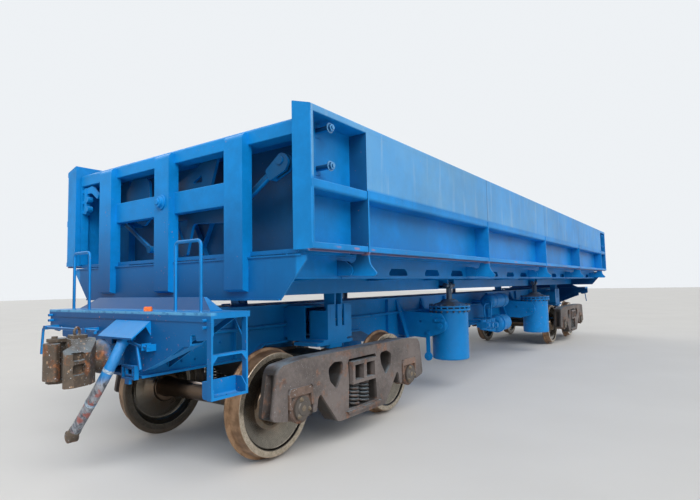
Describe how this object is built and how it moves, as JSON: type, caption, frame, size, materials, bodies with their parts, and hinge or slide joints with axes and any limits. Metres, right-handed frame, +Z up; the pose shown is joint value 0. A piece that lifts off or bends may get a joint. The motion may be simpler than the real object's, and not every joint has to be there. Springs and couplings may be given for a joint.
{
  "type": "side dump wagon",
  "caption": "Full-size rail freight wagon whose open body tips to either side on air cylinders while the side door on that side swings down",
  "frame": {"origin": "on the wagon's centre line, midway between the bogies, level with the bottom of the wheel flanges", "axes": "+X along the wagon to its rear end, +Y to its right side, +Z up"},
  "size_m": [13.4402, 3.3964, 2.6649],
  "materials": {
    "blue_paint": "satin, chalky and dusty",
    "worn_paint": "scraped and rusty",
    "dark_paint": "matt, dusty",
    "cast_steel": "rough, rusty",
    "wheel_steel": "rusty with bright tread",
    "pin_steel": "worn, greasy",
    "rod_steel": "polished",
    "hose_rubber": "matt, faded"
  },
  "bodies": {
    "underframe": {"centre_sill": "blue_paint", "body_bolsters": "dark_paint", "tipping_supports": "blue_paint", "left_tipping_pins": "pin_steel", "front_platform": "blue_paint", "rear_platform": "blue_paint", "corner_steps": "blue_paint", "step_boxes": "blue_paint", "handrails": "blue_paint", "front_coupler": "cast_steel", "rear_coupler": "cast_steel", "cylinder_carriers": "blue_paint", "reservoirs": "blue_paint", "brake_cylinder": "blue_paint", "angle_cocks": "blue_paint", "uncoupling_rods": "blue_paint", "front_air_hose": "hose_rubber", "rear_air_hose": "hose_rubber", "front_hose_coupling": "cast_steel", "rear_hose_coupling": "cast_steel"},
    "right_pins": {"right_tipping_pins": "pin_steel"},
    "tipping_body": {"floor_plate": "worn_paint", "floor_frame": "blue_paint", "front_end_frame": "blue_paint", "rear_end_frame": "blue_paint", "front_end_wall": "worn_paint", "rear_end_wall": "worn_paint", "front_door_gear": "blue_paint", "rear_door_gear": "blue_paint"},
    "left_door": {"left_door": "blue_paint"},
    "right_door": {"right_door": "blue_paint"},
    "front_knuckle": {"front_knuckle": "cast_steel"},
    "rear_knuckle": {"rear_knuckle": "cast_steel"},
    "front_bogie": {"front_side_frames": "cast_steel", "front_bolster": "cast_steel", "front_springs": "cast_steel", "front_axle_boxes": "cast_steel", "front_brake_beams": "cast_steel"},
    "wheelset_1": {"wheelset_1": "wheel_steel"},
    "wheelset_2": {"wheelset_2": "wheel_steel"},
    "front_left_barrel": {"front_left_barrel": "blue_paint"},
    "front_left_stage": {"front_left_stage": "rod_steel"},
    "front_left_rod": {"front_left_rod": "rod_steel"},
    "front_right_barrel": {"front_right_barrel": "blue_paint"},
    "front_right_stage": {"front_right_stage": "rod_steel"},
    "front_right_rod": {"front_right_rod": "rod_steel"},
    "rear_bogie": {"rear_side_frames": "cast_steel", "rear_bolster": "cast_steel", "rear_springs": "cast_steel", "rear_axle_boxes": "cast_steel", "rear_brake_beams": "cast_steel"},
    "wheelset_3": {"wheelset_3": "wheel_steel"},
    "wheelset_4": {"wheelset_4": "wheel_steel"},
    "rear_left_barrel": {"rear_left_barrel": "blue_paint"},
    "rear_left_stage": {"rear_left_stage": "rod_steel"},
    "rear_left_rod": {"rear_left_rod": "rod_steel"},
    "rear_right_barrel": {"rear_right_barrel": "blue_paint"},
    "rear_right_stage": {"rear_right_stage": "rod_steel"},
    "rear_right_rod": {"rear_right_rod": "rod_steel"}
  },
  "joints": [
    {"name": "tip_left", "type": "hinge", "parent": "underframe", "child": "right_pins", "pos_m": [0, -0.675, 1.035], "axis": [1, 0, 0], "range_deg": [0, 45]},
    {"name": "tip_right", "type": "hinge", "parent": "right_pins", "child": "tipping_body", "pos_m": [0, 0.675, 1.035], "axis": [-1, 0, 0], "range_deg": [0, 45]},
    {"name": "door_left_open", "type": "hinge", "parent": "tipping_body", "child": "left_door", "pos_m": [0, -1.46, 1.512], "axis": [1, 0, 0], "range_deg": [0, 90]},
    {"name": "door_right_open", "type": "hinge", "parent": "tipping_body", "child": "right_door", "pos_m": [0, 1.46, 1.512], "axis": [-1, 0, 0], "range_deg": [0, 90]},
    {"name": "front_bogie_swivel", "type": "hinge", "parent": "underframe", "child": "front_bogie", "pos_m": [-4.455, 0, 0.765], "axis": [0, 0, 1], "range_deg": [-4, 4]},
    {"name": "front_knuckle_swing", "type": "hinge", "parent": "underframe", "child": "front_knuckle", "pos_m": [-6.633, 0.118, 0.907], "axis": [0, 0, -1], "range_deg": [0, 50]},
    {"name": "wheelset_1_spin", "type": "hinge", "parent": "front_bogie", "child": "wheelset_1", "pos_m": [-5.33, 0, 0.447], "axis": [0, 1, 0], "continuous": true},
    {"name": "wheelset_2_spin", "type": "hinge", "parent": "front_bogie", "child": "wheelset_2", "pos_m": [-3.58, 0, 0.447], "axis": [0, 1, 0], "continuous": true},
    {"name": "front_left_swing", "type": "hinge", "parent": "underframe", "child": "front_left_barrel", "pos_m": [-2.05, -0.866, 0.85], "axis": [-1, 0, 0], "range_deg": [0, 24.5]},
    {"name": "front_left_stage_slide", "type": "slide", "parent": "front_left_barrel", "child": "front_left_stage", "axis": [0, 0, 1], "range_m": [0, 0.571]},
    {"name": "front_left_rod_slide", "type": "slide", "parent": "front_left_stage", "child": "front_left_rod", "axis": [0, 0, 1], "range_m": [0, 0.571]},
    {"name": "front_right_swing", "type": "hinge", "parent": "underframe", "child": "front_right_barrel", "pos_m": [-2.05, 0.866, 0.85], "axis": [1, 0, 0], "range_deg": [0, 24.5]},
    {"name": "front_right_stage_slide", "type": "slide", "parent": "front_right_barrel", "child": "front_right_stage", "axis": [0, 0, 1], "range_m": [0, 0.571]},
    {"name": "front_right_rod_slide", "type": "slide", "parent": "front_right_stage", "child": "front_right_rod", "axis": [0, 0, 1], "range_m": [0, 0.571]},
    {"name": "rear_bogie_swivel", "type": "hinge", "parent": "underframe", "child": "rear_bogie", "pos_m": [4.455, 0, 0.765], "axis": [0, 0, 1], "range_deg": [-4, 4]},
    {"name": "rear_knuckle_swing", "type": "hinge", "parent": "underframe", "child": "rear_knuckle", "pos_m": [6.633, -0.118, 0.907], "axis": [0, 0, -1], "range_deg": [0, 50]},
    {"name": "wheelset_3_spin", "type": "hinge", "parent": "rear_bogie", "child": "wheelset_3", "pos_m": [3.58, 0, 0.447], "axis": [0, 1, 0], "continuous": true},
    {"name": "wheelset_4_spin", "type": "hinge", "parent": "rear_bogie", "child": "wheelset_4", "pos_m": [5.33, 0, 0.447], "axis": [0, 1, 0], "continuous": true},
    {"name": "rear_left_swing", "type": "hinge", "parent": "underframe", "child": "rear_left_barrel", "pos_m": [2.05, -0.866, 0.85], "axis": [-1, 0, 0], "range_deg": [0, 24.5]},
    {"name": "rear_left_stage_slide", "type": "slide", "parent": "rear_left_barrel", "child": "rear_left_stage", "axis": [0, 0, 1], "range_m": [0, 0.571]},
    {"name": "rear_left_rod_slide", "type": "slide", "parent": "rear_left_stage", "child": "rear_left_rod", "axis": [0, 0, 1], "range_m": [0, 0.571]},
    {"name": "rear_right_swing", "type": "hinge", "parent": "underframe", "child": "rear_right_barrel", "pos_m": [2.05, 0.866, 0.85], "axis": [1, 0, 0], "range_deg": [0, 24.5]},
    {"name": "rear_right_stage_slide", "type": "slide", "parent": "rear_right_barrel", "child": "rear_right_stage", "axis": [0, 0, 1], "range_m": [0, 0.571]},
    {"name": "rear_right_rod_slide", "type": "slide", "parent": "rear_right_stage", "child": "rear_right_rod", "axis": [0, 0, 1], "range_m": [0, 0.571]}
  ],
  "couplings": [
    {"joint": "door_left_open", "follows": "tip_left", "ratio": 2},
    {"joint": "door_right_open", "follows": "tip_right", "ratio": 2},
    {"joint": "front_left_swing", "follows": "tip_right", "ratio": 0.5437},
    {"joint": "front_left_stage_slide", "follows": "tip_right", "m_per_rad": 0.7259},
    {"joint": "front_left_rod_slide", "follows": "tip_right", "m_per_rad": 0.7259},
    {"joint": "front_right_swing", "follows": "tip_left", "ratio": 0.5437},
    {"joint": "front_right_stage_slide", "follows": "tip_left", "m_per_rad": 0.7259},
    {"joint": "front_right_rod_slide", "follows": "tip_left", "m_per_rad": 0.7259},
    {"joint": "rear_left_swing", "follows": "tip_right", "ratio": 0.5437},
    {"joint": "rear_left_stage_slide", "follows": "tip_right", "m_per_rad": 0.7259},
    {"joint": "rear_left_rod_slide", "follows": "tip_right", "m_per_rad": 0.7259},
    {"joint": "rear_right_swing", "follows": "tip_left", "ratio": 0.5437},
    {"joint": "rear_right_stage_slide", "follows": "tip_left", "m_per_rad": 0.7259},
    {"joint": "rear_right_rod_slide", "follows": "tip_left", "m_per_rad": 0.7259}
  ]
}
